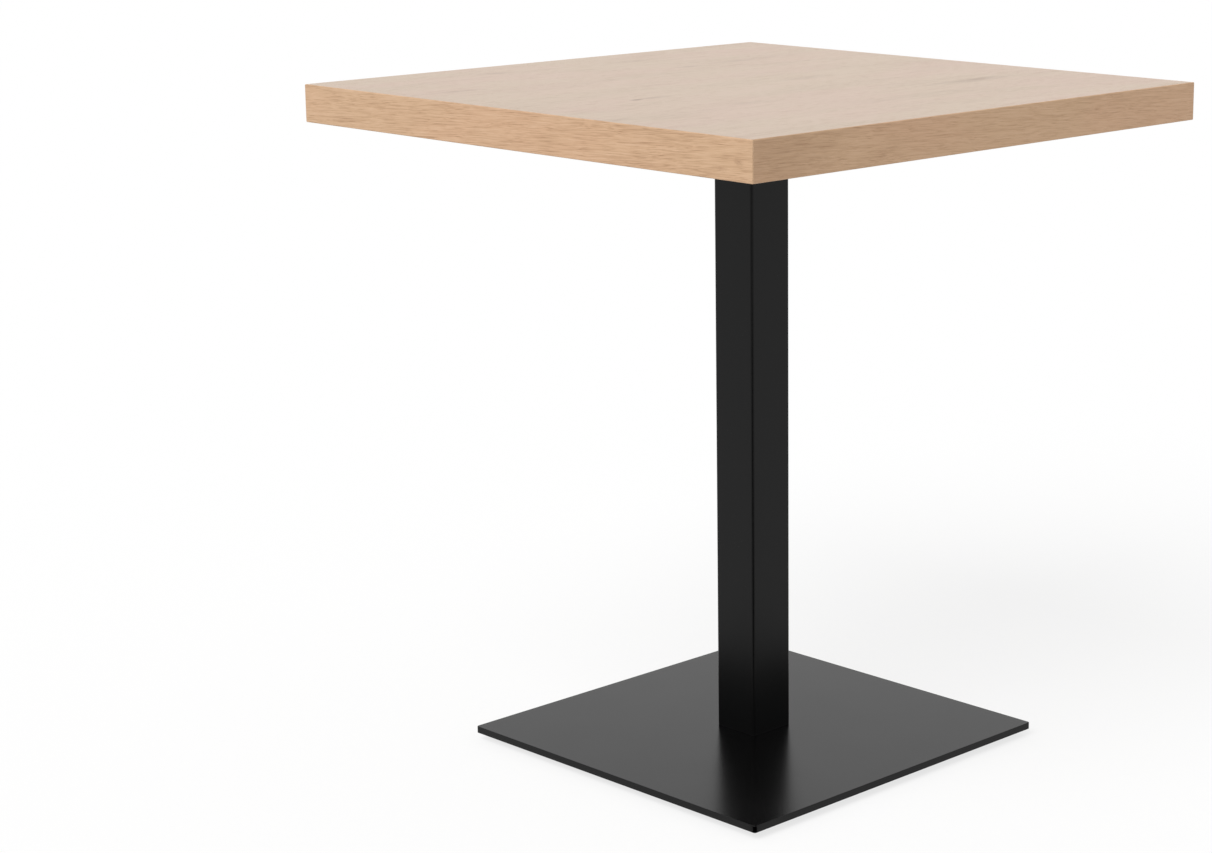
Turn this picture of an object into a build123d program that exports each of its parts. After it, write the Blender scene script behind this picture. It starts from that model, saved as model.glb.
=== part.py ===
"""Bistro table: a square oak-faced top on a square steel column and a flat steel foot plate.

Millimetres, +Z up. The origin lies on the floor under the column's axis, and the table's sides run
along X and Y: front is -Y, back is +Y, left is -X and right is +X. The glides stand screwed right in.
"""

import os

from build123d import *

# Overall sizes
top_side = 700.0
top_thickness = 42.0
table_height = 768.0
foot_side = 460.0
foot_thickness = 8.0
foot_corner_radius = 3.0
foot_arris_radius = 0.6

# Table top: particle board between two laminates, lipped with four edge bands
laminate_thickness = 0.8
band_thickness = 2.0
band_arris_radius = 1.0

# Column: square tube with a tapped plate welded into each end
column_side = 60.0
column_wall = 2.0
column_corner_radius = 3.0
end_plate_thickness = 8.0
end_plate_bore_radius = 6.0
weld_gap = 0.1

# Mounting plate between the column and the top
mount_side = 300.0
mount_thickness = 5.0
mount_corner_radius = 12.0
mount_screw_inset = 18.0
mount_screw_hole_radius = 3.0

# Countersunk socket bolts, four at each end of the column
bolt_spacing = 30.0
bolt_radius = 4.0
bolt_head_radius = 8.0
bolt_head_land = 0.3
bolt_engagement = 7.0
bolt_tip_chamfer = 0.8
bolt_socket_width = 5.0
bolt_socket_depth = 3.0
bolt_clearance = 0.5
seat_clearance = 0.1
thread_clearance = 0.05
tapping_chamfer = 0.6

# Pan-head chipboard screws that hold the mounting plate to the top
screw_length = 30.0
screw_radius = 2.5
screw_point_length = 5.0
screw_head_radius = 5.0
screw_head_height = 3.0
screw_recess_width = 1.2
screw_recess_reach = 2.7
screw_recess_depth = 1.8
pilot_tip_gap = 1.0

# Levelling glides: a nylon pad that stays still on the floor and a threaded stud that turns in it
glide_inset = 50.0
pad_radius = 15.0
pad_top_radius = 12.5
pad_height = 5.0
pad_sole = 1.6
pad_arris_radius = 0.5
pad_pocket_radius = 6.2
pad_lip_thickness = 1.7
pad_neck_radius = 4.3
stud_flange_radius = 6.0
stud_flange_gap = 0.1
stud_neck_radius = 4.0
stud_collar_width = 10.0
stud_collar_height = 3.0
stud_collar_gap = 0.3
stud_seat_gap = 0.2
stud_thread_radius = 4.0
stud_thread_chamfer = 0.6
stud_end_gap = 0.3
glide_hole_skin = 1.5

# Levels above the floor and sizes that follow from the values above
collar_underside = pad_height + stud_collar_gap
foot_underside = collar_underside + stud_collar_height + stud_seat_gap
column_foot = foot_underside + foot_thickness
top_underside = table_height - top_thickness
column_head = top_underside - mount_thickness
column_length = column_head - column_foot
column_inside = column_side - 2 * column_wall
core_side = top_side - 2 * band_thickness
core_underside = top_underside + laminate_thickness
core_thickness = top_thickness - 2 * laminate_thickness
mount_screw_spacing = mount_side / 2 - mount_screw_inset
glide_spacing = foot_side - 2 * glide_inset
glide_hole_depth = foot_thickness - glide_hole_skin
pilot_top = column_head + screw_length + pilot_tip_gap
mount_screw_places = [
    (x * mount_screw_spacing, y * mount_screw_spacing)
    for x in (-1, 0, 1)
    for y in (-1, 0, 1)
    if (x, y) != (0, 0)
]
glide_places = {
    "front_left": (-glide_spacing / 2, -glide_spacing / 2),
    "front_right": (glide_spacing / 2, -glide_spacing / 2),
    "back_right": (glide_spacing / 2, glide_spacing / 2),
    "back_left": (-glide_spacing / 2, glide_spacing / 2),
}


def save(builder, name):
    """Labels a finished piece and writes it as a STEP file of that name."""
    builder.part.label = name
    export_step(builder.part, f"parts/{name}.step")


def facing_down(height):
    """A plane at a height that looks at the floor, for what is drilled or driven from below."""
    return Plane(origin=(0, 0, height), x_dir=(1, 0, 0), z_dir=(0, 0, -1))


def edge_band(centre_x, centre_y, length_x, length_y):
    """One lipping strip: the part of the finished top's rounded outline that lies in the strip's box."""
    with BuildPart() as band:
        with BuildSketch(Plane.XY.offset(top_underside)):
            Rectangle(top_side, top_side)
        extrude(amount=top_thickness)
        fillet(band.edges(), radius=band_arris_radius)
        with Locations((centre_x, centre_y, top_underside + top_thickness / 2)):
            Box(length_x, length_y, top_thickness, mode=Mode.INTERSECT)
    return band


def panel(underside, thickness, drilled_to):
    """A sheet of the top inside the edge bands, with the screws' pilot holes from its underside."""
    with BuildPart() as sheet:
        with BuildSketch(Plane.XY.offset(underside)):
            Rectangle(core_side, core_side)
        extrude(amount=thickness)
        if drilled_to > underside:
            with BuildSketch(Plane.XY.offset(underside)):
                with Locations(*mount_screw_places):
                    Circle(screw_radius + thread_clearance)
            extrude(amount=min(drilled_to - underside, thickness), mode=Mode.SUBTRACT)
    return sheet


def end_plate(underside, tapped_face):
    """The square plate welded into an end of the tube: four tapped holes and a centre bore."""
    hole_radius = bolt_radius + thread_clearance
    with BuildPart() as plate:
        with BuildSketch(Plane.XY.offset(underside)):
            RectangleRounded(
                column_inside - 2 * weld_gap,
                column_inside - 2 * weld_gap,
                column_corner_radius - column_wall,
            )
            Circle(end_plate_bore_radius, mode=Mode.SUBTRACT)
            with GridLocations(bolt_spacing, bolt_spacing, 2, 2):
                Circle(hole_radius, mode=Mode.SUBTRACT)
        extrude(amount=end_plate_thickness)
        mouths = plate.edges().filter_by(GeomType.CIRCLE).filter_by(
            lambda edge: abs(edge.radius - hole_radius) < thread_clearance
            and abs(edge.center().Z - tapped_face) < thread_clearance
        )
        chamfer(mouths, length=tapping_chamfer)
    return plate


def countersunk_bolt(length):
    """A countersunk socket bolt with its flat face at the origin and its shank along -Z."""
    cone_end = bolt_head_land + bolt_head_radius - bolt_radius
    with BuildPart() as bolt:
        with BuildSketch(Plane.XZ):
            with BuildLine():
                Polyline(
                    (0, 0),
                    (bolt_head_radius, 0),
                    (bolt_head_radius, -bolt_head_land),
                    (bolt_radius, -cone_end),
                    (bolt_radius, bolt_tip_chamfer - length),
                    (bolt_radius - bolt_tip_chamfer, -length),
                    (0, -length),
                    close=True,
                )
            make_face()
        revolve(axis=Axis.Z)
        with BuildSketch(Plane.XY):
            RegularPolygon(bolt_socket_width / 2, 6, major_radius=False)
        extrude(amount=-bolt_socket_depth, mode=Mode.SUBTRACT)
    return bolt.part


def bolt_group(face_plane, plate_thickness):
    """Four bolts through a plate, each with its head's face flush with the plate's outer face."""
    bolt = countersunk_bolt(plate_thickness + bolt_engagement)
    with BuildPart() as group:
        with Locations(face_plane):
            with GridLocations(bolt_spacing, bolt_spacing, 2, 2):
                add(bolt)
    return group


def sink_bolt_holes(face_plane):
    """Cuts the four countersunk clearance holes that the bolts' heads seat in."""
    with Locations(face_plane):
        with GridLocations(bolt_spacing, bolt_spacing, 2, 2):
            CounterSinkHole(
                bolt_radius + bolt_clearance,
                bolt_head_radius + bolt_head_land + seat_clearance,
                counter_sink_angle=90,
            )


def chipboard_screw():
    """A pan-head screw with the underside of its head at the origin and its shank along -Z."""
    crown = screw_head_radius - screw_head_height / 2
    with BuildPart() as screw:
        with BuildSketch(Plane.XZ):
            with BuildLine():
                Line((0, screw_head_height), (crown, screw_head_height))
                RadiusArc((crown, screw_head_height), (screw_head_radius, 0), screw_head_height * 1.2)
                Polyline(
                    (screw_head_radius, 0),
                    (screw_radius, 0),
                    (screw_radius, screw_point_length - screw_length),
                    (0, -screw_length),
                    (0, screw_head_height),
                )
            make_face()
        revolve(axis=Axis.Z)
        with BuildSketch(Plane.XY.offset(screw_head_height)):
            Rectangle(2 * screw_recess_reach, screw_recess_width)
            Rectangle(screw_recess_width, 2 * screw_recess_reach)
        extrude(amount=-screw_recess_depth, mode=Mode.SUBTRACT)
    return screw.part


def glide_pad(centre_x, centre_y):
    """A glide's nylon pad: a low cone with a lipped pocket that holds the stud's flange."""
    lip_underside = pad_height - pad_lip_thickness
    with BuildPart() as pad:
        with BuildSketch(Plane.XZ):
            with BuildLine():
                Polyline(
                    (0, 0),
                    (pad_radius, 0),
                    (pad_radius, pad_sole),
                    (pad_top_radius, pad_height),
                    (pad_neck_radius, pad_height),
                    (pad_neck_radius, lip_underside),
                    (pad_pocket_radius, lip_underside),
                    (pad_pocket_radius, pad_sole),
                    (0, pad_sole),
                    close=True,
                )
            make_face()
        revolve(axis=Axis.Z)
        rims = pad.edges().filter_by(GeomType.CIRCLE).filter_by(
            lambda edge: edge.radius > pad_pocket_radius + pad_arris_radius
        )
        fillet(rims, radius=pad_arris_radius)
    with BuildPart() as placed:
        with Locations((centre_x, centre_y, 0)):
            add(pad.part)
    return placed


def glide_stud(centre_x, centre_y):
    """A glide's stud: a flange in the pad, a neck, a spanner collar and the thread in the foot plate."""
    flange_underside = pad_sole + stud_flange_gap
    flange_top = pad_height - pad_lip_thickness - stud_flange_gap
    thread_top = foot_underside + glide_hole_depth - stud_end_gap
    with BuildPart() as stud:
        with BuildSketch(Plane.XY.offset(flange_underside)):
            with Locations((centre_x, centre_y)):
                Circle(stud_flange_radius)
        extrude(amount=flange_top - flange_underside)
        with BuildSketch(Plane.XY.offset(flange_top)):
            with Locations((centre_x, centre_y)):
                Circle(stud_neck_radius)
        extrude(amount=collar_underside - flange_top)
        with BuildSketch(Plane.XY.offset(collar_underside)):
            with Locations((centre_x, centre_y)):
                RegularPolygon(stud_collar_width / 2, 6, major_radius=False)
        extrude(amount=stud_collar_height)
        with BuildSketch(Plane.XY.offset(collar_underside + stud_collar_height)):
            with Locations((centre_x, centre_y)):
                Circle(stud_thread_radius)
        extrude(amount=thread_top - collar_underside - stud_collar_height)
        chamfer(stud.edges().group_by(Axis.Z)[-1], length=stud_thread_chamfer)
    return stud


os.makedirs("parts", exist_ok=True)

# Table top
strip_centre = (top_side - band_thickness) / 2
save(edge_band(0, -strip_centre, core_side, band_thickness), "edge_band_front")
save(edge_band(0, strip_centre, core_side, band_thickness), "edge_band_back")
save(edge_band(-strip_centre, 0, band_thickness, top_side), "edge_band_left")
save(edge_band(strip_centre, 0, band_thickness, top_side), "edge_band_right")
save(panel(table_height - laminate_thickness, laminate_thickness, pilot_top), "top_laminate")
save(panel(core_underside, core_thickness, pilot_top), "top_core")
save(panel(top_underside, laminate_thickness, pilot_top), "backing_laminate")

# Mounting plate with its sunk bolts and its screws into the top
with BuildPart() as mounting_plate:
    with BuildSketch(Plane.XY.offset(column_head)):
        RectangleRounded(mount_side, mount_side, mount_corner_radius)
        with Locations(*mount_screw_places):
            Circle(mount_screw_hole_radius, mode=Mode.SUBTRACT)
    extrude(amount=mount_thickness)
    sink_bolt_holes(Plane.XY.offset(top_underside))
save(mounting_plate, "mounting_plate")
save(bolt_group(Plane.XY.offset(top_underside), mount_thickness), "mounting_bolts")

with BuildPart() as mounting_screws:
    with Locations(facing_down(column_head)):
        with Locations(*mount_screw_places):
            add(chipboard_screw())
save(mounting_screws, "mounting_screws")

# Column
with BuildPart() as column_tube:
    with BuildSketch(Plane.XY.offset(column_foot)):
        RectangleRounded(column_side, column_side, column_corner_radius)
        RectangleRounded(
            column_inside, column_inside, column_corner_radius - column_wall, mode=Mode.SUBTRACT
        )
    extrude(amount=column_length)
save(column_tube, "column_tube")
save(end_plate(column_head - end_plate_thickness, column_head), "column_head_plate")
save(end_plate(column_foot, column_foot), "column_foot_plate")

# Foot plate with its bolts, sunk from below, and the blind tapped holes of the glides
with BuildPart() as foot_plate:
    with BuildSketch(Plane.XY.offset(foot_underside)):
        RectangleRounded(foot_side, foot_side, foot_corner_radius)
    extrude(amount=foot_thickness)
    rims = foot_plate.faces().filter_by(Axis.Z).edges()
    fillet(rims, radius=foot_arris_radius)
    sink_bolt_holes(facing_down(foot_underside))
    with Locations(facing_down(foot_underside)):
        with GridLocations(glide_spacing, glide_spacing, 2, 2):
            Hole(stud_thread_radius + thread_clearance, depth=glide_hole_depth)
save(foot_plate, "foot_plate")
save(bolt_group(facing_down(foot_underside), foot_thickness), "foot_bolts")

# Glides
for corner, (x, y) in glide_places.items():
    save(glide_pad(x, y), f"glide_pad_{corner}")
    save(glide_stud(x, y), f"glide_stud_{corner}")
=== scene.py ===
"""The looks of a square bistro table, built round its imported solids.

The table has an oak-faced top with four edge bands, a square powder-coated column on a flat steel foot
plate, and four levelling glides. Everything is in metres in the solids' own frame: the floor is z = 0,
the column stands on the origin, and the table's sides run along X and Y.
"""

import logging
import math
from dataclasses import dataclass, replace
from enum import Enum
from functools import cache
from typing import Any, ClassVar

import bpy
import numpy as np
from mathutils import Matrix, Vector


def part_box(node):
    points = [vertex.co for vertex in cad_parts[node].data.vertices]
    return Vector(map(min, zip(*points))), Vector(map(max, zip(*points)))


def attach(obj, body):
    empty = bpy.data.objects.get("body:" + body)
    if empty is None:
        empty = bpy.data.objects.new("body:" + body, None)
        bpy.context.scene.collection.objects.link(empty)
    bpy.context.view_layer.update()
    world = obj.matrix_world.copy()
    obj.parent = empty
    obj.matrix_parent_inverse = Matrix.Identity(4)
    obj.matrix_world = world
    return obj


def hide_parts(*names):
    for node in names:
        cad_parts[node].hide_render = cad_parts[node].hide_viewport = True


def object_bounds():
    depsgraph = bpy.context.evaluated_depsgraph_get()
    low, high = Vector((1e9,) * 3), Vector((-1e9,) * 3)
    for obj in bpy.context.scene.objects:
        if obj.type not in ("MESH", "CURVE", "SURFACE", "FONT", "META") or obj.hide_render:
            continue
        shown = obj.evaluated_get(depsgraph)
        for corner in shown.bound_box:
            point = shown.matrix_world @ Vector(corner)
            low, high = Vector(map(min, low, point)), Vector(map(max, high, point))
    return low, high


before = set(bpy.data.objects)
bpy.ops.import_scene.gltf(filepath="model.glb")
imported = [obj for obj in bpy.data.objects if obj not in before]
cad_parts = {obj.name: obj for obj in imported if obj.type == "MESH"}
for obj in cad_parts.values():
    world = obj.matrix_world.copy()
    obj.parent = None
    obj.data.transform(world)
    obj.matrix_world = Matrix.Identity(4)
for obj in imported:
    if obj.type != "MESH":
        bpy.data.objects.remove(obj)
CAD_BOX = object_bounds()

log = logging.getLogger("bistro_table")

Colour = tuple[float, float, float, float]
Triple = tuple[float, float, float]
MM = 0.001


class Run(Enum):
    """Which way a board's grain runs: the share of its lean about X and about Y, and its turn about Z."""

    ALONG_X = (0.0, 1.0, 0.0)
    ALONG_Y = (1.0, 0.0, -90.0)

    def rotation(self, lean: float) -> Triple:
        """The turn in degrees about X, Y and Z that lays the grain along X, after a lean within the face."""
        about_x, about_y, about_z = self.value
        return (lean * about_x, lean * about_y, about_z)


class Facing(Enum):
    """Which way the head of a fastener looks."""

    UP = 1.0
    DOWN = -1.0


class Kind(Enum):
    """What a group's socket carries."""

    VALUE = "NodeSocketFloat"
    VECTOR = "NodeSocketVector"
    COLOUR = "NodeSocketColor"


def tone(red: int, green: int, blue: int) -> Colour:
    """A paint-card colour, 0 to 255 a channel, as the opaque linear colour that a shader takes."""
    card = np.array([red, green, blue]) / 255.0
    return (*np.where(card <= 0.04045, card / 12.92, ((card + 0.055) / 1.055) ** 2.4).tolist(), 1.0)


# Drawing node trees


@dataclass(frozen=True)
class Weave:
    """A noise's pattern: its lumps to the metre along each axis, its shift, its octaves and their share."""

    scale: Triple
    shift: Triple = (0, 0, 0)
    detail: float = 2.0
    rough: float = 0.5


@dataclass(frozen=True)
class Draft:
    """A node tree being drawn up, with a group's inputs by name, and short ways to add and join its nodes."""

    tree: bpy.types.NodeTree
    given: Any = None

    def feed(self, socket: bpy.types.NodeSocket, value: Any) -> None:
        """Joins a socket to another, or sets its value.

        Args:
            socket: The input that is fed.
            value: An output socket, a number or a tuple.
        """
        if isinstance(value, bpy.types.NodeSocket):
            self.tree.links.new(value, socket)
        else:
            socket.default_value = value

    def node(self, kind: str, feeds: dict[Any, Any] | None = None, **settings: Any) -> bpy.types.Node:
        """Adds a node.

        Args:
            kind: Its type, such as ShaderNodeMath.
            feeds: What goes into its inputs, by their name or number.
            **settings: Its own settings.

        Returns:
            The node.
        """
        made = self.tree.nodes.new(kind)
        for key, value in settings.items():
            setattr(made, key, value)
        for key, value in (feeds or {}).items():
            self.feed(made.inputs[key], value)
        return made

    def coat(self, feeds: dict[str, Any]) -> None:
        """Feeds the tree's Principled shader, each input by its name."""
        for name, value in feeds.items():
            self.feed(self.tree.nodes["Principled BSDF"].inputs[name], value)

    def maths(self, operation: str, *values: Any) -> bpy.types.NodeSocket:
        """The result of one sum, such as ADD or MULTIPLY, on numbers or sockets."""
        return self.node("ShaderNodeMath", dict(enumerate(values)), operation=operation).outputs[0]

    def vector(self, operation: str, *values: Any) -> bpy.types.Node:
        """The node of one vector sum, such as ADD or LENGTH, on tuples or sockets."""
        return self.node("ShaderNodeVectorMath", dict(enumerate(values)), operation=operation)

    def step(self, value: Any, low: float, high: float) -> bpy.types.NodeSocket:
        """A smooth rise from 0, where value is low, to 1, where it is high."""
        feeds = {"Value": value, "From Min": low, "From Max": high}
        return self.node("ShaderNodeMapRange", feeds, interpolation_type="SMOOTHSTEP").outputs[0]

    def span(self, value: Any, low: float, high: float) -> bpy.types.NodeSocket:
        """A value of 0 to 1 spread over low to high."""
        return self.node("ShaderNodeMapRange", {"Value": value, "To Min": low, "To Max": high}).outputs[0]

    def blend(self, share: Any, under: Any, over: Any) -> bpy.types.NodeSocket:
        """Two colours mixed, with a share of 0 to 1 of the second."""
        return self.node("ShaderNodeMix", {0: share, 6: under, 7: over}, data_type="RGBA").outputs[2]

    def spread(self, vector: Any, scale: Triple, shift: Triple = (0, 0, 0)) -> bpy.types.NodeSocket:
        """Coordinates stretched by so many pattern units to the metre, then shifted."""
        feeds = {"Vector": vector, "Scale": scale, "Location": shift}
        return self.node("ShaderNodeMapping", feeds).outputs[0]

    def laid(self, vector: Any, degrees: Triple, shift: Triple) -> bpy.types.NodeSocket:
        """Coordinates turned about X, then Y, then Z, then shifted."""
        feeds = {"Vector": vector, "Rotation": tuple(map(math.radians, degrees)), "Location": shift}
        return self.node("ShaderNodeMapping", feeds).outputs[0]

    def noise(self, vector: Any, scale: Any, detail: float, rough: float = 0.5) -> bpy.types.NodeSocket:
        """A cloudy value about 0.5, of a scale in lumps to the unit."""
        feeds = {"Vector": vector, "Scale": scale, "Detail": detail, "Roughness": rough}
        return self.node("ShaderNodeTexNoise", feeds).outputs["Fac"]

    def woven(self, vector: Any, weave: Weave) -> bpy.types.NodeSocket:
        """A cloudy value about 0.5, in a weave's pattern."""
        return self.noise(self.spread(vector, weave.scale, weave.shift), 1, weave.detail, weave.rough)

    def place(self) -> bpy.types.NodeSocket:
        """The point's place on the piece, in metres."""
        return self.node("ShaderNodeTexCoord").outputs["Object"]

    def bump(self, height: Any, depth: float) -> bpy.types.NodeSocket:
        """A normal that leans with a height of 0 to 1, which stands for a depth in metres."""
        return self.node("ShaderNodeBump", {"Height": height, "Distance": depth, "Strength": 1.0}).outputs[0]

    def seen(self) -> bpy.types.NodeSocket:
        """Tells rays that are looked along from those that carry light.

        Returns:
            1 for a ray from the camera, a reflection or a clear piece, and 0 for any other.
        """
        path = self.node("ShaderNodeLightPath").outputs
        seen = self.maths("MAXIMUM", path["Is Camera Ray"], path["Is Glossy Ray"])
        return self.maths("MAXIMUM", seen, path["Is Transmission Ray"])


# Effects that several finishes share


class Effect:
    """A shader node group, made once and placed in each finish with values of its own."""

    inputs: ClassVar[dict[str, tuple[Kind, Any]]] = {}
    outputs: ClassVar[dict[str, Kind]] = {}

    @classmethod
    def draw(cls, draft: Draft) -> dict[str, Any]:
        """Draws the effect from what its draft is given, and gives what each output puts out."""
        raise NotImplementedError

    @classmethod
    @cache
    def group(cls) -> bpy.types.NodeTree:
        """Gives the effect's node group, made on first use.

        Returns:
            The group.
        """
        tree = bpy.data.node_groups.new(cls.__name__, "ShaderNodeTree")
        for name, (kind, value) in cls.inputs.items():
            socket = tree.interface.new_socket(name, in_out="INPUT", socket_type=kind.value)
            socket.default_value = value
        for name, kind in cls.outputs.items():
            tree.interface.new_socket(name, in_out="OUTPUT", socket_type=kind.value)
        draft = Draft(tree, Draft(tree).node("NodeGroupInput").outputs)
        draft.node("NodeGroupOutput", cls.draw(draft))
        return tree

    @classmethod
    def use(cls, draft: Draft, **values: Any) -> Any:
        """Places the effect in a tree, with values for its inputs, and gives its outputs by name."""
        return draft.node("ShaderNodeGroup", values, node_tree=cls.group()).outputs


class OakGrain(Effect):
    """Oak with its grain along X: drifting tone and hue, growth-ring figure, fibre lines and open pores."""

    inputs = {
        "Vector": (Kind.VECTOR, (0, 0, 0)),
        **{name: (Kind.COLOUR, tone(206, 184, 166)) for name in ("Pale", "Ground", "Deep", "Blush")},
        **{name: (Kind.VALUE, 0.3) for name in ("Drift", "Figure", "Fibre", "Pores")},
    }
    outputs = {"Color": Kind.COLOUR, "Height": Kind.VALUE, "Open": Kind.VALUE}
    sway = Weave((9, 30, 30))
    sway_reach = 8 * MM
    drift = Weave((4, 17, 17), detail=3)
    hue = Weave((6, 15, 15), (9, 4, 1))
    hue_step = (0.35, 0.7)
    rings = Weave((1.1, 13, 13), (3, 1, 2), detail=1)
    ring_turns = 95.0
    lines = Weave((22, 1000, 1000), rough=0.62)
    line_share = 0.8
    fine = Weave((60, 1500, 1500), (7, 0, 3))
    dashes = Weave((55, 2300, 2300), (0, 5, 1), detail=0)
    dash_step = (0.6, 0.72)
    patches = Weave((9, 60, 60), (1, 2, 5), detail=1)
    crowding = 0.22
    fibre_fall = 0.4

    @classmethod
    def draw(cls, draft: Draft) -> dict[str, Any]:
        """Draws the grain: each layer is a noise stretched along X, on coordinates that sway a little.

        The layers add up about 0.5 to a depth, which runs from Pale at 0 to the ground at 0.5 and Deep at 1.

        Args:
            draft: The group's tree and inputs.

        Returns:
            The colour, the height, and where the pores are open.
        """
        sway = draft.woven(draft.given["Vector"], cls.sway)
        lift = draft.maths("MULTIPLY_ADD", sway, cls.sway_reach, -cls.sway_reach / 2)
        offset = draft.node("ShaderNodeCombineXYZ", {"Y": lift, "Z": lift}).outputs[0]
        swayed = draft.vector("ADD", draft.given["Vector"], offset).outputs[0]
        wave = draft.maths("SINE", draft.maths("MULTIPLY", draft.woven(swayed, cls.rings), cls.ring_turns))
        fine = draft.maths("MULTIPLY", draft.woven(swayed, cls.fine), 1 - cls.line_share)
        layers = {
            "Drift": draft.woven(swayed, cls.drift),
            "Figure": draft.maths("MULTIPLY_ADD", wave, 0.5, 0.5),
            "Fibre": draft.maths("MULTIPLY_ADD", draft.woven(swayed, cls.lines), cls.line_share, fine),
        }
        crowd = draft.maths("MULTIPLY_ADD", draft.woven(swayed, cls.patches), -cls.crowding, cls.crowding / 2)
        dashes = draft.maths("SUBTRACT", draft.woven(swayed, cls.dashes), crowd)
        open_pore = draft.step(dashes, *cls.dash_step)
        depth: Any = 0.5
        for name, layer in layers.items():
            depth = draft.maths("MULTIPLY_ADD", draft.maths("SUBTRACT", layer, 0.5), draft.given[name], depth)
        depth = draft.maths("MULTIPLY_ADD", open_pore, draft.given["Pores"], depth)
        hue = draft.step(draft.woven(swayed, cls.hue), *cls.hue_step)
        ground = draft.blend(hue, draft.given["Ground"], draft.given["Blush"])
        lower = draft.blend(draft.maths("MULTIPLY", depth, 2.0), draft.given["Pale"], ground)
        colour = draft.blend(draft.maths("MULTIPLY_ADD", depth, 2.0, -1.0), lower, draft.given["Deep"])
        ridge = draft.span(layers["Fibre"], 0, cls.fibre_fall)
        height = draft.maths("SUBTRACT", draft.maths("SUBTRACT", 1.0, open_pore), ridge)
        return {"Color": colour, "Height": height, "Open": open_pore}


class Smudge(Effect):
    """A soft dark place in the grain, such as a pin knot with its shadow, ragged and split into strands."""

    inputs = {
        "Vector": (Kind.VECTOR, (0, 0, 0)),
        "Centre": (Kind.VECTOR, (0, 0, 0)),
        "Reach": (Kind.VECTOR, (0.04, 0.02, 1)),
        "Strength": (Kind.VALUE, 0.5),
    }
    outputs = {"Mask": Kind.VALUE}
    fray = Weave((45, 160, 160))
    fray_reach = 1.1
    strands = Weave((28, 620, 620))
    strand_step = (0.35, 0.65)
    strand_shares = (0.55, 1.35)

    @classmethod
    def draw(cls, draft: Draft) -> dict[str, Any]:
        """Draws the place: the distance from the centre, in reaches, frayed by a noise and split by another.

        Args:
            draft: The group's tree and inputs.

        Returns:
            The mask.
        """
        place = draft.given["Vector"]
        fray = draft.woven(place, cls.fray)
        away = draft.vector("SUBTRACT", place, draft.given["Centre"]).outputs[0]
        shares = draft.vector("DIVIDE", away, draft.given["Reach"]).outputs[0]
        far = draft.vector("LENGTH", shares).outputs["Value"]
        near_rim = draft.maths("SUBTRACT", far, cls.fray_reach / 2)
        frayed = draft.maths("MULTIPLY_ADD", fray, cls.fray_reach, near_rim)
        inside = draft.maths("SUBTRACT", 1.0, draft.step(frayed, 0.0, 1.0))
        strands = draft.step(draft.woven(place, cls.strands), *cls.strand_step)
        split = draft.maths("MULTIPLY", inside, draft.span(strands, *cls.strand_shares))
        return {"Mask": draft.maths("MULTIPLY", split, draft.given["Strength"])}


class Rub(Effect):
    """Where an edge is rubbed: the turn of the surface within a small reach, broken up by a noise."""

    inputs = {"Vector": (Kind.VECTOR, (0, 0, 0)), "Reach": (Kind.VALUE, 0.8 * MM)}
    outputs = {"Mask": Kind.VALUE}
    turn_step = (0.01, 0.2)
    breaks = Weave((90, 90, 90), detail=3)
    break_step = (0.35, 0.65)

    @classmethod
    def draw(cls, draft: Draft) -> dict[str, Any]:
        """Draws the mask: one less the cosine between the rounded and the true normal.

        Args:
            draft: The group's tree and inputs.

        Returns:
            The mask.
        """
        rounded = draft.node("ShaderNodeBevel", {"Radius": draft.given["Reach"]}, samples=4).outputs[0]
        true = draft.node("ShaderNodeNewGeometry").outputs["Normal"]
        cosine = draft.vector("DOT_PRODUCT", rounded, true).outputs["Value"]
        turn = draft.step(draft.maths("SUBTRACT", 1.0, cosine), *cls.turn_step)
        kept = draft.step(draft.woven(draft.given["Vector"], cls.breaks), *cls.break_step)
        return {"Mask": draft.maths("MULTIPLY", turn, kept)}


class Peel(Effect):
    """The orange-peel skin of sprayed or moulded stuff: low rounded lumps, a slow drift and rare specks."""

    inputs = {"Vector": (Kind.VECTOR, (0, 0, 0)), "Lumps": (Kind.VALUE, 700.0)}
    outputs = {"Height": Kind.VALUE, "Drift": Kind.VALUE, "Specks": Kind.VALUE}
    lump_rough = 0.45
    clouds = 14.0
    cells = 260.0
    pick_scale = 31.0
    pick_step = (0.7, 0.74)
    dot_step = (0.05, 0.13)

    @classmethod
    def draw(cls, draft: Draft) -> dict[str, Any]:
        """Draws two noises, the lumps and the clouds, and a bright dot in a few of many small cells.

        Args:
            draft: The group's tree and inputs.

        Returns:
            The height, the drift and the specks.
        """
        place = draft.given["Vector"]
        lumps = draft.noise(place, draft.given["Lumps"], 2, cls.lump_rough)
        dots = draft.node("ShaderNodeTexVoronoi", {"Vector": place, "Scale": cls.cells}).outputs
        pick = draft.step(draft.noise(dots["Position"], cls.pick_scale, 0), *cls.pick_step)
        near = draft.maths("SUBTRACT", 1.0, draft.step(dots["Distance"], *cls.dot_step))
        specks = draft.maths("MULTIPLY", pick, near)
        return {"Height": lumps, "Drift": draft.noise(place, cls.clouds, 3), "Specks": specks}


class Scour(Effect):
    """Fine scratches that run along X, and blotches, as on rolled or plated steel."""

    inputs = {"Vector": (Kind.VECTOR, (0, 0, 0))}
    outputs = {"Scratches": Kind.VALUE, "Blotches": Kind.VALUE}
    scratches = Weave((60, 2400, 2400), rough=0.6)
    blotches = 85.0
    blotch_rough = 0.6

    @classmethod
    def draw(cls, draft: Draft) -> dict[str, Any]:
        """Draws a noise stretched forty times along X, and a cloudy one."""
        blotches = draft.noise(draft.given["Vector"], cls.blotches, 4, cls.blotch_rough)
        return {"Scratches": draft.woven(draft.given["Vector"], cls.scratches), "Blotches": blotches}


# Finishes


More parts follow.
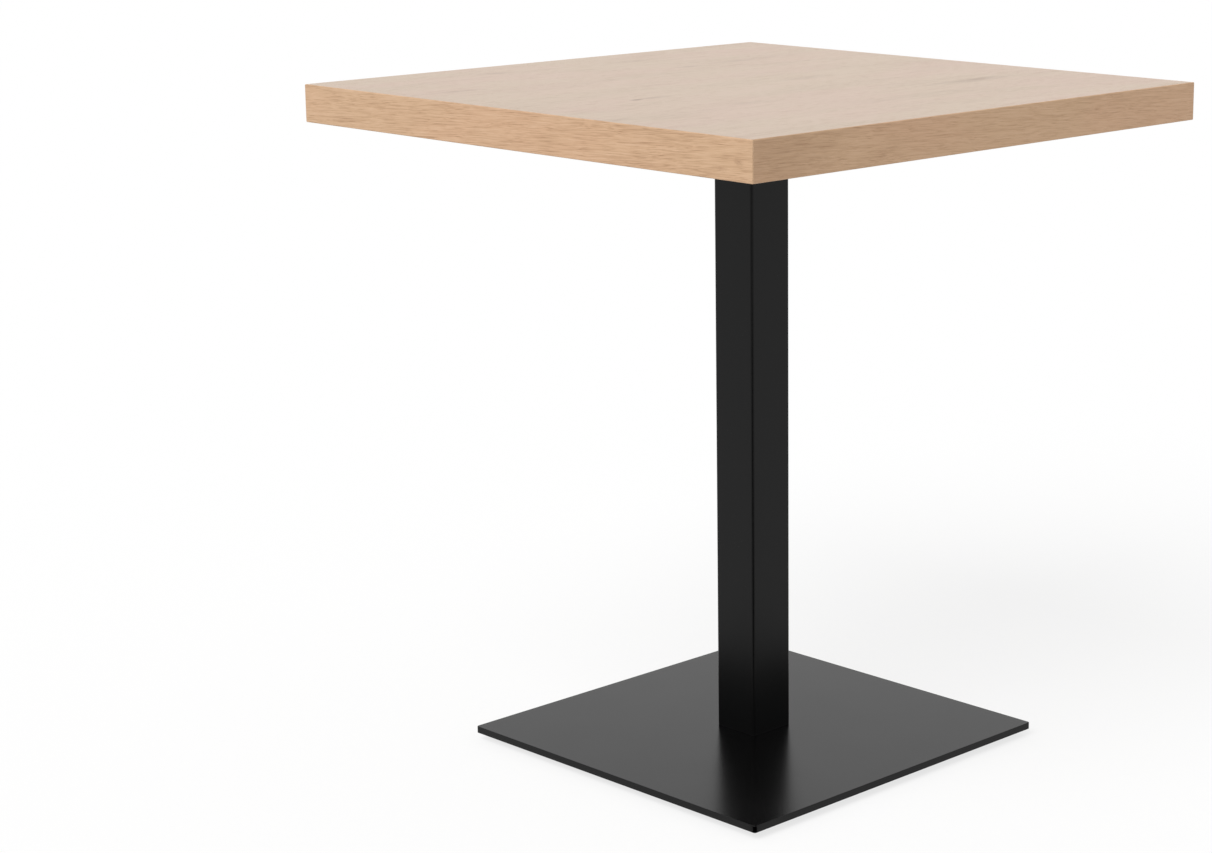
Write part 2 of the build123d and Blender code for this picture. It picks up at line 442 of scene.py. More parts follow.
@dataclass(frozen=True)
class Finish:
    """What covers a piece. Roughness and gloss are the shader's own plain values."""

    name: str
    rough: float = 0.5
    index: float = 1.45
    rub_reach: float = 0.8 * MM
    rub_share: float = 0.5

    def worn(self, draft: Draft, place: Any, whole: Any, rubbed: Colour) -> bpy.types.NodeSocket:
        """A colour, with another one showing through where an edge is rubbed."""
        mask = Rub.use(draft, Vector=place, Reach=self.rub_reach)["Mask"]
        return draft.blend(draft.maths("MULTIPLY", mask, self.rub_share), whole, rubbed)

    def paint(self, draft: Draft) -> None:
        """Draws the finish's nodes into the Principled shader of its material's tree."""
        raise NotImplementedError

    @cache
    def material(self) -> bpy.types.Material:
        """Gives the finish's material, made on first use.

        Returns:
            The material.
        """
        made = bpy.data.materials.new(self.name)
        made.use_nodes = True
        draft = Draft(made.node_tree)
        draft.coat({"Roughness": self.rough, "IOR": self.index})
        self.paint(draft)
        return made


@dataclass(frozen=True)
class Mark:
    """A smudge in a face: its centre, how far it reaches along X, Y and Z, and how dark it is."""

    centre: Triple
    reach: Triple
    strength: float


@dataclass(frozen=True)
class Oak(Finish):
    """Oak laminate or edge band in a satin lacquer, a little darker where its arrises are rubbed down."""

    run: Run = Run.ALONG_X
    lean: float = 0.0
    shift: Triple = (0, 0, 0)
    pale: Colour = tone(211, 191, 172)
    ground: Colour = tone(202, 181, 160)
    deep: Colour = tone(168, 144, 124)
    blush: Colour = tone(204, 179, 161)
    drift: float = 0.3
    figure: float = 0.05
    fibre: float = 0.2
    pores: float = 0.22
    relief: float = 0.02 * MM
    marks: tuple[Mark, ...] = ()
    stain: Colour = tone(140, 110, 92)
    rub_reach: float = 0.9 * MM
    rub_share: float = 0.3
    satin_fall: float = 0.04
    pore_rough: float = 0.15

    def paint(self, draft: Draft) -> None:
        """Lays the grain, then its marks, and opens the pores in the roughness and the relief.

        Args:
            draft: The material's tree.
        """
        place = draft.place()
        laid = draft.laid(place, self.run.rotation(self.lean), self.shift)
        shades = {"Pale": self.pale, "Ground": self.ground, "Deep": self.deep, "Blush": self.blush}
        strengths = {"Drift": self.drift, "Figure": self.figure, "Fibre": self.fibre, "Pores": self.pores}
        grain = OakGrain.use(draft, Vector=laid, **shades, **strengths)
        colour = grain["Color"]
        for mark in self.marks:
            spot = {"Centre": mark.centre, "Reach": mark.reach, "Strength": mark.strength}
            smudge = Smudge.use(draft, Vector=place, **spot)
            colour = draft.blend(smudge["Mask"], colour, self.stain)
        worn = self.worn(draft, place, colour, self.deep)
        satin = draft.span(grain["Height"], self.rough + self.satin_fall, self.rough)
        rough = draft.maths("MULTIPLY_ADD", grain["Open"], self.pore_rough, satin)
        relief = draft.bump(grain["Height"], self.relief)
        draft.coat({"Base Color": worn, "Roughness": rough, "Normal": relief})


@dataclass(frozen=True)
class ChipBoard(Finish):
    """Raw particle board: pressed chips of mixed tone, with dust between them.

    Chips and dust each have so many cells to the metre, and a share of their own tone.
    """

    ground: Colour = tone(186, 156, 118)
    dark: Colour = tone(148, 112, 74)
    light: Colour = tone(214, 188, 148)
    rim: Colour = tone(96, 70, 44)
    chips: tuple[float, float] = (260.0, 0.75)
    dust: tuple[float, float] = (676.0, 0.4)
    flat: Triple = (0.55, 1, 1.7)
    rim_step: tuple[float, float] = (0.45, 0.8)
    rim_share: float = 0.5
    tooth: float = 900.0
    relief: float = 0.15 * MM

    def paint(self, draft: Draft) -> None:
        """Lays two sizes of cell, each with a tone of its own, and a dark rim between them.

        Args:
            draft: The material's tree.
        """
        place = draft.place()
        colour: Any = self.ground
        for scale, share in (self.chips, self.dust):
            feeds = {"Vector": draft.spread(place, self.flat), "Scale": scale}
            cells = draft.node("ShaderNodeTexVoronoi", feeds).outputs
            shade = draft.node("ShaderNodeSeparateColor", {0: cells["Color"]}).outputs[0]
            colour = draft.blend(share, colour, draft.blend(shade, self.dark, self.light))
            rim = draft.maths("MULTIPLY", draft.step(cells["Distance"], *self.rim_step), self.rim_share)
            colour = draft.blend(rim, colour, self.rim)
        tooth = draft.noise(place, self.tooth, 3)
        draft.coat({"Base Color": colour, "Normal": draft.bump(tooth, self.relief)})


@dataclass(frozen=True)
class Backing(Finish):
    """The plain balancing laminate under the top, matt and slightly pearled."""

    ground: Colour = tone(176, 162, 146)
    fleck: Colour = tone(190, 178, 164)
    cloud: Colour = tone(162, 148, 132)
    lumps: float = 1100.0
    fleck_share: float = 0.5
    cloud_step: tuple[float, float] = (0.3, 0.8)
    cloud_share: float = 0.35
    relief: float = 0.03 * MM

    def paint(self, draft: Draft) -> None:
        """Lays a fine fleck and a broad drift on the ground.

        Args:
            draft: The material's tree.
        """
        peel = Peel.use(draft, Vector=draft.place(), Lumps=self.lumps)
        flecked = draft.blend(draft.span(peel["Height"], 0, self.fleck_share), self.ground, self.fleck)
        cloud = draft.maths("MULTIPLY", draft.step(peel["Drift"], *self.cloud_step), self.cloud_share)
        colour = draft.blend(cloud, flecked, self.cloud)
        draft.coat({"Base Color": colour, "Normal": draft.bump(peel["Height"], self.relief)})


@dataclass(frozen=True)
class PowderCoat(Finish):
    """Black powder coat over steel, with a fine orange peel and edges rubbed a little brighter."""

    ground: Colour = (0.0005, 0.0005, 0.0006, 1.0)
    rubbed: Colour = tone(34, 34, 35)
    dust: Colour = tone(140, 140, 138)
    peel: float = 0.012 * MM
    lumps: float = 650.0
    rub_reach: float = 0.7 * MM
    dust_share: float = 0.12
    sheen_drift: float = 0.03

    def paint(self, draft: Draft) -> None:
        """Lays the peel, a drift in the sheen, dust specks and rubbed edges.

        Args:
            draft: The material's tree.
        """
        place = draft.place()
        peel = Peel.use(draft, Vector=place, Lumps=self.lumps)
        worn = self.worn(draft, place, self.ground, self.rubbed)
        dusty = draft.blend(draft.maths("MULTIPLY", peel["Specks"], self.dust_share), worn, self.dust)
        sheen = draft.span(peel["Drift"], self.rough - self.sheen_drift, self.rough + self.sheen_drift)
        relief = draft.bump(peel["Height"], self.peel)
        draft.coat({"Base Color": dusty, "Roughness": sheen, "Normal": relief})


@dataclass(frozen=True)
class Steel(Finish):
    """Bare or zinc-plated steel, with fine scratches and cloudy blotches."""

    bright: Colour = tone(206, 208, 212)
    dull: Colour = tone(168, 170, 176)
    blotch_step: tuple[float, float] = (0.3, 0.7)
    smoother: float = 0.08
    rougher: float = 0.1
    relief: float = 0.01 * MM

    def paint(self, draft: Draft) -> None:
        """Lays blotches in the colour and the sheen, and scratches in the relief.

        Args:
            draft: The material's tree.
        """
        scour = Scour.use(draft, Vector=draft.place())
        blotches = draft.step(scour["Blotches"], *self.blotch_step)
        sheen = draft.span(scour["Blotches"], self.rough - self.smoother, self.rough + self.rougher)
        colour = draft.blend(blotches, self.bright, self.dull)
        relief = draft.bump(scour["Scratches"], self.relief)
        draft.coat({"Metallic": 1.0, "Base Color": colour, "Roughness": sheen, "Normal": relief})


@dataclass(frozen=True)
class Nylon(Finish):
    """Black moulded nylon with a spark-eroded skin, scuffed at its rims."""

    ground: Colour = tone(26, 26, 27)
    paler: Colour = tone(36, 36, 37)
    scuffed: Colour = tone(78, 78, 78)
    lumps: float = 1600.0
    relief: float = 0.04 * MM

    def paint(self, draft: Draft) -> None:
        """Lays a fine moulded texture and paler rubbed rims.

        Args:
            draft: The material's tree.
        """
        place = draft.place()
        peel = Peel.use(draft, Vector=place, Lumps=self.lumps)
        ground = draft.blend(peel["Drift"], self.ground, self.paler)
        worn = self.worn(draft, place, ground, self.scuffed)
        draft.coat({"Base Color": worn, "Normal": draft.bump(peel["Height"], self.relief)})


LEFT, FRONT, _ = CAD_BOX[0]
FACE = CAD_BOX[1][2]
TOP_MARKS = (
    Mark((-0.199, -0.029, FACE), (0.010, 0.006, 1), 1.0),
    Mark((-0.174, -0.027, FACE), (0.036, 0.009, 1), 0.34),
    Mark((0.190, -0.157, FACE), (0.090, 0.022, 1), 0.34),
    Mark((0.217, -0.150, FACE), (0.048, 0.014, 1), 0.28),
    Mark((0.079, 0.182, FACE), (0.034, 0.010, 1), 0.3),
    Mark((0.165, 0.188, FACE), (0.065, 0.009, 1), 0.22),
    Mark((-0.130, 0.286, FACE), (0.032, 0.012, 1), 0.28),
    Mark((-0.278, 0.170, FACE), (0.046, 0.014, 1), 0.22),
    Mark((0.082, -0.004, FACE), (0.066, 0.016, 1), 0.2),
    Mark((-0.332, -0.145, FACE), (0.022, 0.009, 1), 0.32),
    Mark((-0.138, -0.132, FACE), (0.050, 0.015, 1), 0.16),
    Mark((0.079, 0.274, FACE), (0.030, 0.010, 1), 0.2),
)
LEFT_MARKS = (
    Mark((LEFT, -0.331, 0.745), (1, 0.009, 0.005), 0.4),
    Mark((LEFT, -0.306, 0.737), (1, 0.014, 0.004), 0.25),
)
FRONT_MARKS = (Mark((-0.32, FRONT, 0.745), (0.12, 1, 0.09), 0.24),)
OAK_FACE = Oak("oak_face", rough=0.42, marks=TOP_MARKS)
OAK_BAND = Oak(
    "oak_band",
    rough=0.48,
    pale=tone(219, 184, 152),
    ground=tone(205, 169, 134),
    deep=tone(164, 126, 94),
    blush=tone(207, 168, 134),
    drift=0.18,
    fibre=1.8,
    pores=0.15,
    relief=0.06 * MM,
    stain=tone(150, 112, 82),
)
CHIP_BOARD = ChipBoard("chip_board", rough=0.85)
BACKING = Backing("backing_sheet", rough=0.6)
COLUMN_COAT = PowderCoat("column_coat", rough=0.32, index=1.27)
FOOT_COAT = PowderCoat("foot_coat", rough=0.24, index=1.28, peel=0.004 * MM)
BARE_STEEL = Steel("bare_steel", rough=0.42, bright=tone(150, 151, 154), dull=tone(112, 112, 116))
ZINC = Steel("bright_zinc", rough=0.26)
NYLON = Nylon("moulded_nylon", rough=0.5)


# Surfaces worked out with numpy

CREST_SHARE = 0.1
FLANK_SHARE = 0.7
SHARP = math.radians(38)


@dataclass
class Surface:
    """Points and the faces between them. Faces are rows of point numbers."""

    points: np.ndarray
    quads: np.ndarray
    triangles: np.ndarray

    def placed(self, x: float, y: float, z: float, facing: Facing = Facing.UP) -> "Surface":
        """A copy moved to a place, turned half round the X axis first if it faces down."""
        turn = np.array([1.0, facing.value, facing.value])
        return Surface(self.points * turn + np.array([x, y, z]), self.quads, self.triangles)


def joined(surfaces: list[Surface]) -> Surface:
    """Several surfaces as one.

    Args:
        surfaces: The surfaces, which stay as they are.

    Returns:
        One surface with all their points, each surface's faces renumbered past the points before it.
    """
    starts = np.cumsum([0] + [len(one.points) for one in surfaces[:-1]])
    return Surface(
        np.concatenate([one.points for one in surfaces]),
        np.concatenate([one.quads + start for one, start in zip(surfaces, starts)]),
        np.concatenate([one.triangles + start for one, start in zip(surfaces, starts)]),
    )


def turned(stations: list[tuple[Any, Any]], angle: np.ndarray) -> Surface:
    """A closed surface round the Z axis, from a pole at its top to a pole at its foot.

    The point at a station and angle a is (r cos a, r sin a, z), with the station's radius r and height z.
    Each pole is one point, on the axis at the mean height of the first or the last station.

    Args:
        stations: A radius and a height for each station from the top down. Each is a number, a row with a
            column for each angle, or several such rows, for as many stations.
        angle: The angles, rising once round.

    Returns:
        The surface, with its faces outwards.
    """
    flat = np.ones((1, len(angle)))
    pairs = [np.broadcast_arrays(flat * radius, flat * height) for radius, height in stations]
    radius, height = (np.concatenate(parts) for parts in zip(*pairs))
    rows, columns = radius.shape
    ring = np.stack([radius * np.cos(angle), radius * np.sin(angle), height], axis=-1).reshape(-1, 3)
    poles = np.array([[0, 0, height[0].mean()], [0, 0, height[-1].mean()]])
    here = np.arange(columns)
    onward = (here + 1) % columns
    start = np.arange(rows - 1)[:, None] * columns
    quads = np.stack([start + here, start + columns + here, start + columns + onward, start + onward], -1)
    top, foot = rows * columns, rows * columns + 1
    last = (rows - 1) * columns
    upper = np.stack([np.full(columns, top), here, onward], -1)
    lower = np.stack([np.full(columns, foot), last + onward, last + here], -1)
    return Surface(np.concatenate([ring, poles]), quads.reshape(-1, 4), np.concatenate([upper, lower]))


def circle(sides: int) -> np.ndarray:
    """So many angles once round, from 0."""
    return np.arange(sides) * 2 * math.pi / sides


def hexagon(across: float, angle: np.ndarray) -> np.ndarray:
    """The radius of a hexagon at each angle: half its width across flats, over the cosine from a flat."""
    sixth = math.pi / 3
    return across / 2 / np.cos(angle % sixth - sixth / 2)


def thread(crest: float, root: float, pitch: float, height: np.ndarray, angle: np.ndarray) -> np.ndarray:
    """The radius of a right-hand V thread at each height and angle.

    One turn of the angle lifts the profile by a pitch. Within a pitch the radius goes from the crest to the
    root and back, each time along a smooth step, with a short land at either end.

    Args:
        crest: The outer radius.
        root: The inner radius.
        pitch: The lift of one turn.
        height: A column of heights.
        angle: A row of angles.

    Returns:
        The radii, a row for each height.
    """
    share = np.abs(2 * ((height / pitch - angle / (2 * math.pi)) % 1) - 1)
    share = np.clip((share - CREST_SHARE) / FLANK_SHARE, 0, 1)
    return crest - (crest - root) * share * share * (3 - 2 * share)


def added(data: Any) -> bpy.types.Object:
    """Adds an object to the scene.

    Args:
        data: Its mesh, lamp or camera, which also names it.

    Returns:
        The object.
    """
    made = bpy.data.objects.new(data.name, data)
    bpy.context.scene.collection.objects.link(made)
    return made


def fastener(name: str, surface: Surface, body: str, node: str) -> None:
    """Makes a zinc-plated piece that stands for a CAD node and rides on its body.

    Args:
        name: The piece's name.
        surface: Its surface, in its place.
        body: The body that it rides on.
        node: The CAD node that it replaces.
    """
    mesh = bpy.data.meshes.new(name)
    mesh.from_pydata(surface.points.tolist(), [], surface.quads.tolist() + surface.triangles.tolist())
    mesh.polygons.foreach_set("use_smooth", np.ones(len(mesh.polygons), bool))
    mesh.set_sharp_from_angle(angle=SHARP)
    mesh.materials.append(ZINC.material())
    made = added(mesh)
    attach(made, body)
    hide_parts(node)
    log.info("%s: %d faces, stands for %s", name, len(mesh.polygons), node)


def dress(node: str, finish: Finish) -> None:
    """Gives a CAD node its finish.

    Args:
        node: The node's name.
        finish: What covers it.
    """
    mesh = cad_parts[node].data
    mesh.materials.clear()
    mesh.materials.append(finish.material())
    log.info("%s: %s", node, finish.name)


# The table's fasteners


@dataclass(frozen=True, kw_only=True)
class Threaded:
    """A threaded fastener, M8 unless it says otherwise: its thread, and how finely that is worked out."""

    crest: float = 4.0 * MM
    root: float = 3.3 * MM
    pitch: float = 1.25 * MM
    tip: float = 0.8 * MM
    end_ring: float = 0.5 * MM
    sides: int = 48
    rows_a_pitch: int = 10

    def column(self, high: float, low: float) -> np.ndarray:
        """A column of heights from high down to low, so many to a pitch."""
        return np.linspace(high, low, int(self.rows_a_pitch * (high - low) / self.pitch))[:, None]

    def cut(self, height: np.ndarray, angle: np.ndarray, end: float) -> np.ndarray:
        """The thread's radius at each height and angle, drawn in to a cone at its end."""
        ridge = thread(self.crest, self.root, self.pitch, height, angle)
        return np.minimum(ridge, self.crest - self.tip + np.abs(height - end))


@dataclass(frozen=True, kw_only=True)
class SunkBolt(Threaded):
    """A countersunk M8 bolt with a hexagon socket, its flat face at z = 0 and its shank down."""

    length: float
    head: float = 8.0 * MM
    land: float = 0.3 * MM
    socket: float = 5.0 * MM
    socket_depth: float = 3.0 * MM
    drill: float = 1.2 * MM
    rim: float = 0.25 * MM
    neck: float = 0.4 * MM
    drill_point: float = 0.2 * MM
    drill_share: float = 0.8

    def surface(self) -> Surface:
        """Works out the bolt: down into its socket, out over the face, down the cone and along the thread.

        Returns:
            The surface, on the Z axis.
        """
        angle = circle(self.sides)
        six = hexagon(self.socket, angle)
        cone_end = self.land + self.head - self.crest
        height = self.column(-cone_end - self.neck, -self.length)
        stations = [
            (self.drill_point, -self.socket_depth - self.drill),
            (six * self.drill_share, -self.socket_depth),
            (six, -self.socket_depth),
            (six, -self.rim),
            (six + self.rim, 0),
            (self.head - self.rim / 2, 0),
            (self.head, -self.rim / 2),
            (self.head, -self.land),
            (self.crest, -cone_end),
            (self.cut(height, angle, -self.length), height),
            (self.end_ring, -self.length),
        ]
        return turned(stations, angle)


@dataclass(frozen=True, kw_only=True)
class PanScrew(Threaded):
    """A pan-head chipboard screw with a cross recess, its seat at z = 0, head up and shank down."""

    length: float = 30.0 * MM
    head: float = 5.0 * MM
    rise: float = 3.0 * MM
    crest: float = 2.5 * MM
    root: float = 1.6 * MM
    pitch: float = 2.4 * MM
    point: float = 5.0 * MM
    arm: float = 2.7 * MM
    arm_width: float = 1.2 * MM
    recess: float = 1.8 * MM
    recess_point: float = 0.1 * MM
    recess_shares: tuple[float, float] = (0.6, 0.93)
    recess_lip: float = 0.3 * MM
    dome_spread: float = 1.02
    dome_rings: tuple[float, ...] = (0.62, 0.75, 0.86, 0.94, 0.985, 1.0)
    point_curve: float = 0.8
    point_share: float = 0.02
    rows_a_pitch: int = 12

    def angles(self) -> np.ndarray:
        """Works out angles once round that meet every corner of the cross.

        Returns:
            The angles, rising.
        """
        corner = math.atan(self.arm_width / 2 / self.arm)
        half = np.concatenate([np.linspace(0, corner, 3), np.linspace(corner, math.pi / 4, 4)[1:]])
        quarter = np.concatenate([half, math.pi / 2 - half[-2:0:-1]])
        return np.concatenate([quarter + k * math.pi / 2 for k in range(4)])

    def cross(self, angle: np.ndarray) -> np.ndarray:
        """Works out the cross's radius: at each angle, the further rim of its two bars.

        Args:
            angle: The angles.

        Returns:
            The radii.
        """
        width = self.arm_width / 2
        along, up = (np.abs(wave(angle)) + 1e-9 for wave in (np.cos, np.sin))
        return np.maximum(np.minimum(self.arm / along, width / up), np.minimum(width / along, self.arm / up))

    def dome(self, radius: Any) -> Any:
        """The head's height at a radius: a flat quarter-ellipse."""
        return self.rise * np.clip(1 - (radius / (self.head * self.dome_spread)) ** 4, 0, 1) ** 0.5

    def surface(self) -> Surface:
        """Works out the screw: down into its cross, out over the dome, under the head, along the thread.

        Returns:
            The surface, on the Z axis.
        """
        angle = self.angles()
        cross = self.cross(angle)
        floor = self.rise - self.recess
        inner, outer = self.recess_shares
        rings = [self.head * share for share in self.dome_rings]
        height = self.column(0, -self.length)[1:]
        taper = np.clip((height + self.length) / self.point, 0, 1) ** self.point_curve
        runout = np.clip(-height / (2 * self.pitch), 0, 1)
        crest = self.root + (self.crest - self.root) * runout
        ridge = thread(crest, self.root, self.pitch, height, angle) * np.maximum(taper, self.point_share)
        stations = [
            (self.recess_point, floor),
            (cross * inner, floor),
            (cross * outer, self.rise - self.recess_lip),
            (cross, self.dome(cross)),
            *((ring, self.dome(ring)) for ring in rings),
            (self.head, 0),
            (self.root, 0),
            (ridge, height),
        ]
        return turned(stations, angle)


@dataclass(frozen=True, kw_only=True)
class GlideStud(Threaded):
    """A glide's stud: an M8 thread, a hexagon collar, a neck, and a flange that the pad holds."""

    flange: float = 6.0 * MM
    flange_height: float = 1.5 * MM
    neck: float = 4.0 * MM
    collar: float = 10.0 * MM
    collar_height: float = 3.0 * MM
    collar_foot: float = 3.6 * MM
    tip: float = 0.6 * MM
    chamfer: float = 0.35 * MM
    edge: float = 0.2 * MM

    def surface(self, foot: float, top: float) -> Surface:
        """Works out the stud, from its thread down to its flange.

        Args:
            foot: The flange's underside.
            top: The thread's end.

        Returns:
            The surface, on the Z axis.
        """
        angle = circle(self.sides)
        collar_foot = foot + self.collar_foot
        collar_top = collar_foot + self.collar_height
        height = self.column(top, collar_top)
        six = hexagon(self.collar, angle)
        bevelled = np.minimum(six, self.collar / 2)
        eased = np.minimum(six, self.collar / 2 + self.chamfer)
        flange_top = foot + self.flange_height
        stations = [
            (self.end_ring, top),
            (self.cut(height, angle, top), height),
            (bevelled, collar_top),
            (eased, collar_top - self.chamfer / 2),
            (six, collar_top - 2 * self.chamfer),
            (six, collar_foot + 2 * self.chamfer),
            (eased, collar_foot + self.chamfer / 2),
            (bevelled, collar_foot),
            (self.neck, collar_foot),
            (self.neck, flange_top),
            (self.flange - self.edge, flange_top),
            (self.flange, flange_top - self.edge),
            (self.flange, foot + self.edge),
            (self.flange - self.edge, foot),
            (self.end_ring, foot),
        ]
        return turned(stations, angle)


# Sub-assemblies


@dataclass
class TableTop:
    """The chipboard core between two laminates, lipped with four oak bands."""

    calm: float = 0.68

    def build(self) -> None:
        """Dresses the laminates, the core and the bands, each band with grain of its own along it."""
        dress("top_laminate", OAK_FACE)
        dress("top_core", CHIP_BOARD)
        dress("backing_laminate", BACKING)
        along_x = replace(OAK_BAND, fibre=self.calm * OAK_BAND.fibre)
        along_y = replace(OAK_BAND, run=Run.ALONG_Y)
        bands = {
            "front": replace(along_x, lean=-3.0, shift=(0, 0.6, 0), marks=FRONT_MARKS),
            "back": replace(along_x, lean=1.5, shift=(3.4, 1.2, 0)),
            "left": replace(along_y, lean=3.0, shift=(6.2, 1.5, 0), marks=LEFT_MARKS),
            "right": replace(along_y, lean=-2.0, shift=(1.7, 2.4, 0)),
        }
        for side, band in bands.items():
            dress(f"edge_band_{side}", replace(band, name=f"oak_band_{side}"))


@dataclass
class Mounting:
    """The plate under the top, with its sunk bolts and its screws into the chipboard."""

    body: str = "table"

    def build(self) -> None:
        """Dresses the plate and makes its fasteners where their nodes are."""
        dress("mounting_plate", COLUMN_COAT)
        fastener("mounting_bolts_m8", bolt_group("mounting_bolts", Facing.UP), self.body, "mounting_bolts")
        low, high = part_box("mounting_screws")
        reach = high.x - PanScrew.head
        seat = low.z + PanScrew.rise
        screw = PanScrew(length=high.z - seat).surface()
        places = [(x, y) for x in (-reach, 0, reach) for y in (-reach, 0, reach) if (x, y) != (0, 0)]
        screws = joined([screw.placed(x, y, seat, Facing.DOWN) for x, y in places])
        fastener("mounting_screws_cross", screws, self.body, "mounting_screws")


@dataclass
class Column:
    """The square tube and the tapped plate in each of its ends."""

    def build(self) -> None:
        """Dresses the tube in powder coat and leaves its end plates bare."""
        dress("column_tube", COLUMN_COAT)
        dress("column_head_plate", BARE_STEEL)
        dress("column_foot_plate", BARE_STEEL)


@dataclass
class Foot:
    """The foot plate and the bolts that hold it to the column."""

    body: str = "table"

    def build(self) -> None:
        """Dresses the plate and makes its bolts, heads down, where their node is."""
        dress("foot_plate", FOOT_COAT)
        fastener("foot_bolts_m8", bolt_group("foot_bolts", Facing.DOWN), self.body, "foot_bolts")


@dataclass
class Glide:
    """One levelling glide: the pad that stays on the floor and the stud that turns in it."""

    corner: str

    def build(self) -> None:
        """Dresses the pad and makes the stud where its node is."""
        dress(f"glide_pad_{self.corner}", NYLON)
        node = f"glide_stud_{self.corner}"
        low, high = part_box(node)
        stud = GlideStud().surface(low.z, high.z).placed((low.x + high.x) / 2, (low.y + high.y) / 2, 0)
        fastener(f"{node}_m8", stud, f"stud_{self.corner}", node)


def bolt_group(node: str, facing: Facing) -> Surface:
    """Four sunk bolts in the corners of their CAD node's box.

    Args:
        node: The node that holds the four bolts.
        facing: Which way their heads look.

    Returns:
        The bolts' surfaces, in their places.
    """
    low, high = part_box(node)
    bolt = SunkBolt(length=high.z - low.z)
    reach = high.x - bolt.head
    face = high.z if facing is Facing.UP else low.z
    shape = bolt.surface()
    return joined([shape.placed(x, y, face, facing) for x in (-reach, reach) for y in (-reach, reach)])


# Studio


@dataclass(frozen=True)
class Viewpoint:
    """The camera: metres from the column's axis, degrees, and millimetres for its lens and film."""

    distance: float = 3.0592
    aside: float = 0.0579
    height: float = 1.0958
    heading: float = 46.2
    tilt: float = 13.247
    lens: float = 81.513
    film: float = 36.0
    shift: float = -0.1626
    sight: float = 200.0

    def build(self) -> None:
        """Makes the camera and gives it to the scene."""
        data = bpy.data.cameras.new("camera")
        data.lens, data.sensor_width, data.shift_x = self.lens, self.film, self.shift
        data.clip_end = self.sight
        camera = added(data)
        heading = math.radians(self.heading)
        ahead = np.array([math.sin(heading), math.cos(heading)])
        right = np.array([math.cos(heading), -math.sin(heading)])
        camera.location = (*(right * self.aside - ahead * self.distance), self.height)
        camera.rotation_euler = (math.pi / 2 - math.radians(self.tilt), 0, -heading)
        bpy.context.scene.camera = camera


@dataclass(frozen=True)
class SoftBox:
    """A far, broad lamp: its direction from the table, its width in degrees and its level."""

    toward: Triple = (-0.65, -0.117, 0.75)
    width: float = 40.0
    level: float = 0.6

    def build(self) -> None:
        """Makes the lamp, whose level is the brightness of a white card that faces it."""
        data = bpy.data.lights.new("key_box", "SUN")
        data.energy, data.angle = self.level * math.pi, math.radians(self.width)
        x, y, z = self.toward
        turn = (math.atan2(math.hypot(x, y), z), 0, math.atan2(y, x) + math.pi / 2)
        added(data).rotation_euler = turn


@dataclass(frozen=True)
class DarkCard:
    """A black card on the floor before the table, met only by reflections, which paints a dark reflection
    down the column's near corner.
    """

    heading: float = Viewpoint.heading
    spread: float = 26.0
    start: float = 0.36
    end: float = 3.0
    rise: float = 1.0 * MM

    def build(self) -> None:
        """Makes the card: a four-sided sheet that widens from its start to its end, towards the camera."""
        heading, half = math.radians(self.heading), math.radians(self.spread)
        turns = np.array([-half, half, half, -half]) + heading
        reach = np.array([self.start, self.start, self.end, self.end])
        rim = np.stack([-reach * np.sin(turns), -reach * np.cos(turns), np.full(4, self.rise)], -1)
        mesh = bpy.data.meshes.new("dark_card")
        mesh.from_pydata(rim.tolist(), [], [(0, 1, 2, 3)])
        material = bpy.data.materials.new("dark_card")
        material.use_nodes = True
        Draft(material.node_tree).coat({"Base Color": (0, 0, 0, 1), "Specular IOR Level": 0.0})
        mesh.materials.append(material)
        card = added(mesh)
        # Hidden from the camera, diffuse light and shadows, so the card acts only as a painted dark
        # reflection.
        card.visible_camera = card.visible_diffuse = card.visible_shadow = card.visible_transmission = False


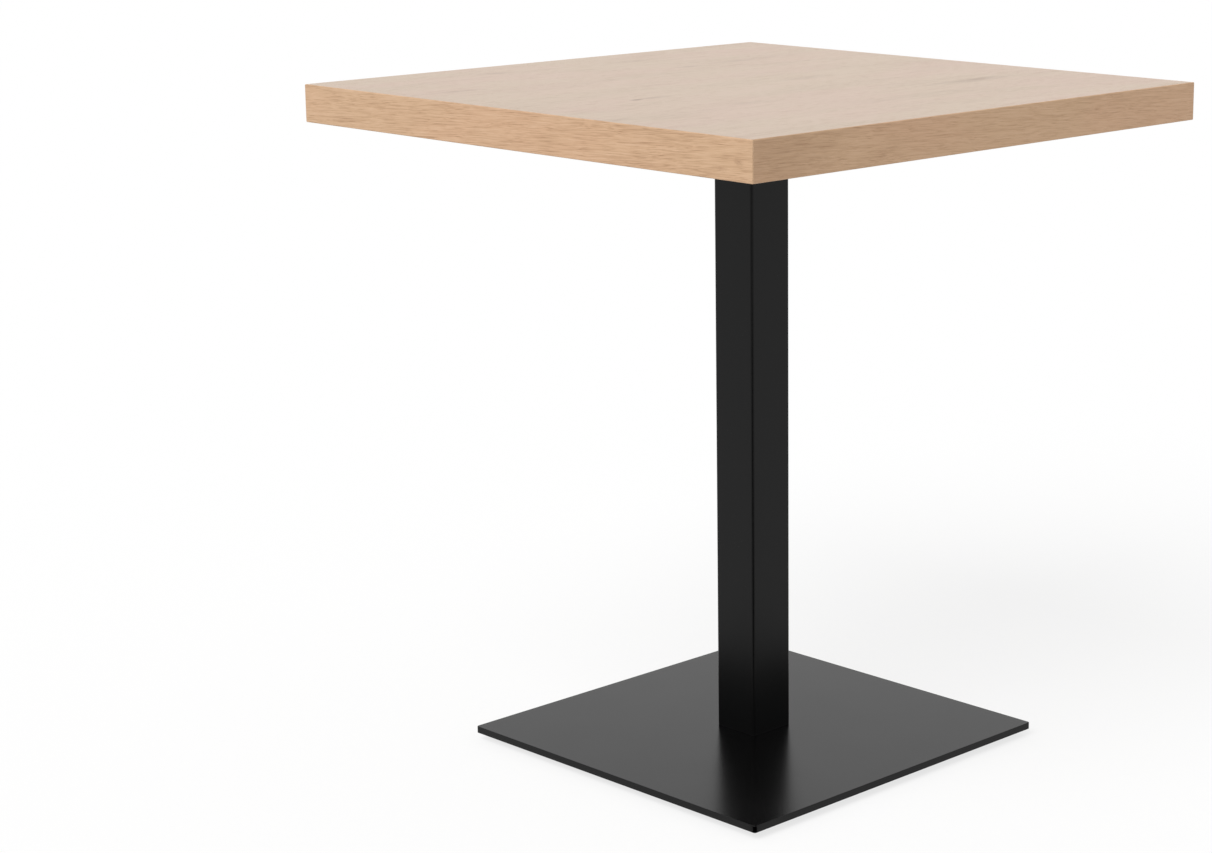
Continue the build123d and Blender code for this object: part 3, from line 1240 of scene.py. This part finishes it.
@dataclass(frozen=True)
class Studio:
    """A white room without walls: a level sky, a pale floor that keeps the shadow, and a soft box."""

    sky: float = 0.55
    floor_side: float = 80.0
    floor_share: float = 0.25
    bounce: float = 0.75

    def hang_sky(self) -> None:
        """Makes the world: white to the eye, and a level light on everything else."""
        world = bpy.data.worlds.new("sky")
        world.use_nodes = True
        bpy.context.scene.world = world
        draft = Draft(world.node_tree)
        lit = world.node_tree.nodes["Background"]
        lit.inputs["Color"].default_value = (1, 1, 1, 1)
        lit.inputs["Strength"].default_value = self.sky
        white = draft.node("ShaderNodeBackground", {"Color": (1, 1, 1, 1), "Strength": 1.0})
        choice = {0: draft.seen(), 1: lit.outputs[0], 2: white.outputs[0]}
        shown = draft.node("ShaderNodeMixShader", choice)
        draft.feed(world.node_tree.nodes["World Output"].inputs["Surface"], shown.outputs[0])

    def lay_floor(self) -> None:
        """Makes the floor: white to the eye where nothing shades it, pale to the light, clear from below."""
        material = bpy.data.materials.new("floor")
        material.use_nodes = True
        tree = material.node_tree
        tree.nodes.remove(tree.nodes["Principled BSDF"])
        draft = Draft(tree)
        share = self.floor_share
        glow = draft.node("ShaderNodeEmission", {"Color": (1, 1, 1, 1), "Strength": 1.0 - share})
        thin = draft.node("ShaderNodeBsdfDiffuse", {"Color": (share, share, share, 1)})
        plain = draft.node("ShaderNodeBsdfDiffuse", {"Color": (self.bounce, self.bounce, self.bounce, 1)})
        eye = draft.node("ShaderNodeAddShader", {0: glow.outputs[0], 1: thin.outputs[0]})
        choice = {0: draft.seen(), 1: plain.outputs[0], 2: eye.outputs[0]}
        shown = draft.node("ShaderNodeMixShader", choice)
        below = draft.node("ShaderNodeNewGeometry").outputs["Backfacing"]
        clear = draft.node("ShaderNodeBsdfTransparent")
        laid = draft.node("ShaderNodeMixShader", {0: below, 1: shown.outputs[0], 2: clear.outputs[0]})
        draft.feed(tree.nodes["Material Output"].inputs["Surface"], laid.outputs[0])
        half = self.floor_side / 2
        mesh = bpy.data.meshes.new("floor")
        corners = [(-half, -half, 0), (half, -half, 0), (half, half, 0), (-half, half, 0)]
        mesh.from_pydata(corners, [], [(0, 1, 2, 3)])
        mesh.materials.append(material)
        added(mesh)

    def build(self) -> None:
        """Sets the view transform and makes the sky, the floor, the lamp and the card."""
        bpy.context.scene.view_settings.view_transform = "Standard"
        self.hang_sky()
        self.lay_floor()
        SoftBox().build()
        DarkCard().build()


def main() -> None:
    """Builds the studio and then the table, from the top down."""
    logging.basicConfig(level=logging.INFO, format="%(message)s")
    Viewpoint().build()
    Studio().build()
    corners = ("front_left", "front_right", "back_right", "back_left")
    for assembly in (TableTop(), Mounting(), Column(), Foot(), *map(Glide, corners)):
        log.info("building %s", type(assembly).__name__)
        assembly.build()


if __name__ == "__main__":
    main()
